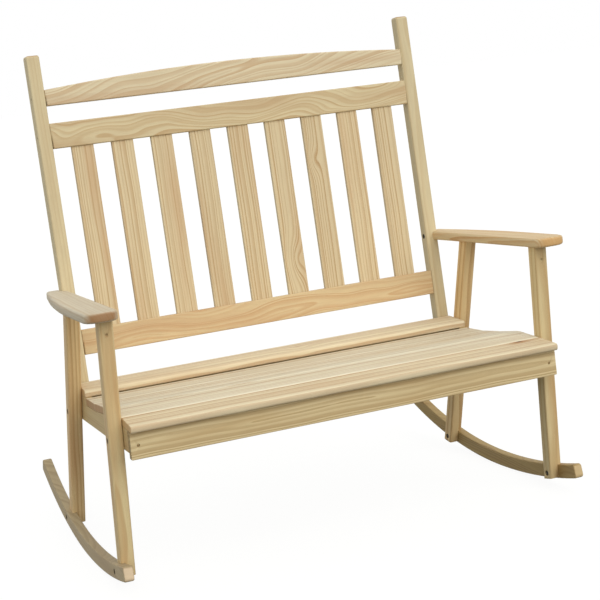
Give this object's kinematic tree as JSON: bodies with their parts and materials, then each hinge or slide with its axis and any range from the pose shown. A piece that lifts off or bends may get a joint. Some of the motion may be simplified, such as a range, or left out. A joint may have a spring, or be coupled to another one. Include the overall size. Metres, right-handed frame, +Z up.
{
  "type": "rocking bench",
  "caption": "Slatted wooden rocking bench on curved rockers, with shaped arms, a scooped seat and a high leaning slat back.",
  "frame": {"origin": "middle of the bounding box's footprint, on the floor under the bench", "axes": "+X to the right as seen from the front, -Y out of the front of the seat, +Z up"},
  "size_m": [1.3006, 0.9028, 1.2784],
  "materials": {
    "frame_wood": "bare planed pine, a little darker and more yellow",
    "seat_wood": "bare planed pine, pale cream",
    "back_wood": "bare planed pine with orange latewood",
    "zinc_steel": "zinc-plated steel, dull"
  },
  "bodies": {
    "root": {"rocker_left": "frame_wood", "rocker_right": "frame_wood", "front_leg_left": "frame_wood", "front_leg_right": "frame_wood", "rear_leg_left": "frame_wood", "rear_leg_right": "frame_wood", "seat_rail_left": "frame_wood", "seat_rail_right": "frame_wood", "front_apron": "frame_wood", "rear_stretcher": "frame_wood", "seat_support": "frame_wood", "arm_left": "seat_wood", "arm_right": "seat_wood", "seat_slat_front": "seat_wood", "seat_slat_1": "seat_wood", "seat_slat_2": "seat_wood", "seat_slat_3": "seat_wood", "seat_slat_4": "seat_wood", "seat_slat_rear": "seat_wood", "back_post_left": "back_wood", "back_post_right": "back_wood", "lower_rail": "back_wood", "middle_rail": "back_wood", "crest_rail": "back_wood", "back_slat_1": "back_wood", "back_slat_2": "back_wood", "back_slat_3": "back_wood", "back_slat_4": "back_wood", "back_slat_5": "back_wood", "back_slat_6": "back_wood", "back_slat_7": "back_wood", "back_slat_8": "back_wood", "back_slat_9": "back_wood", "front_rocker_bolt_left": "zinc_steel", "front_rocker_bolt_right": "zinc_steel", "rear_rocker_bolt_left": "zinc_steel", "rear_rocker_bolt_right": "zinc_steel", "front_seat_bolt_left": "zinc_steel", "front_seat_bolt_right": "zinc_steel", "rear_seat_bolt_left": "zinc_steel", "rear_seat_bolt_right": "zinc_steel", "post_bolt_left": "zinc_steel", "post_bolt_right": "zinc_steel", "arm_bolt_left": "zinc_steel", "arm_bolt_right": "zinc_steel", "front_rocker_nut_left": "zinc_steel", "front_rocker_nut_right": "zinc_steel", "rear_rocker_nut_left": "zinc_steel", "rear_rocker_nut_right": "zinc_steel", "front_seat_nut_left": "zinc_steel", "front_seat_nut_right": "zinc_steel", "rear_seat_nut_left": "zinc_steel", "rear_seat_nut_right": "zinc_steel", "post_nut_left": "zinc_steel", "post_nut_right": "zinc_steel"}
  },
  "joints": []
}
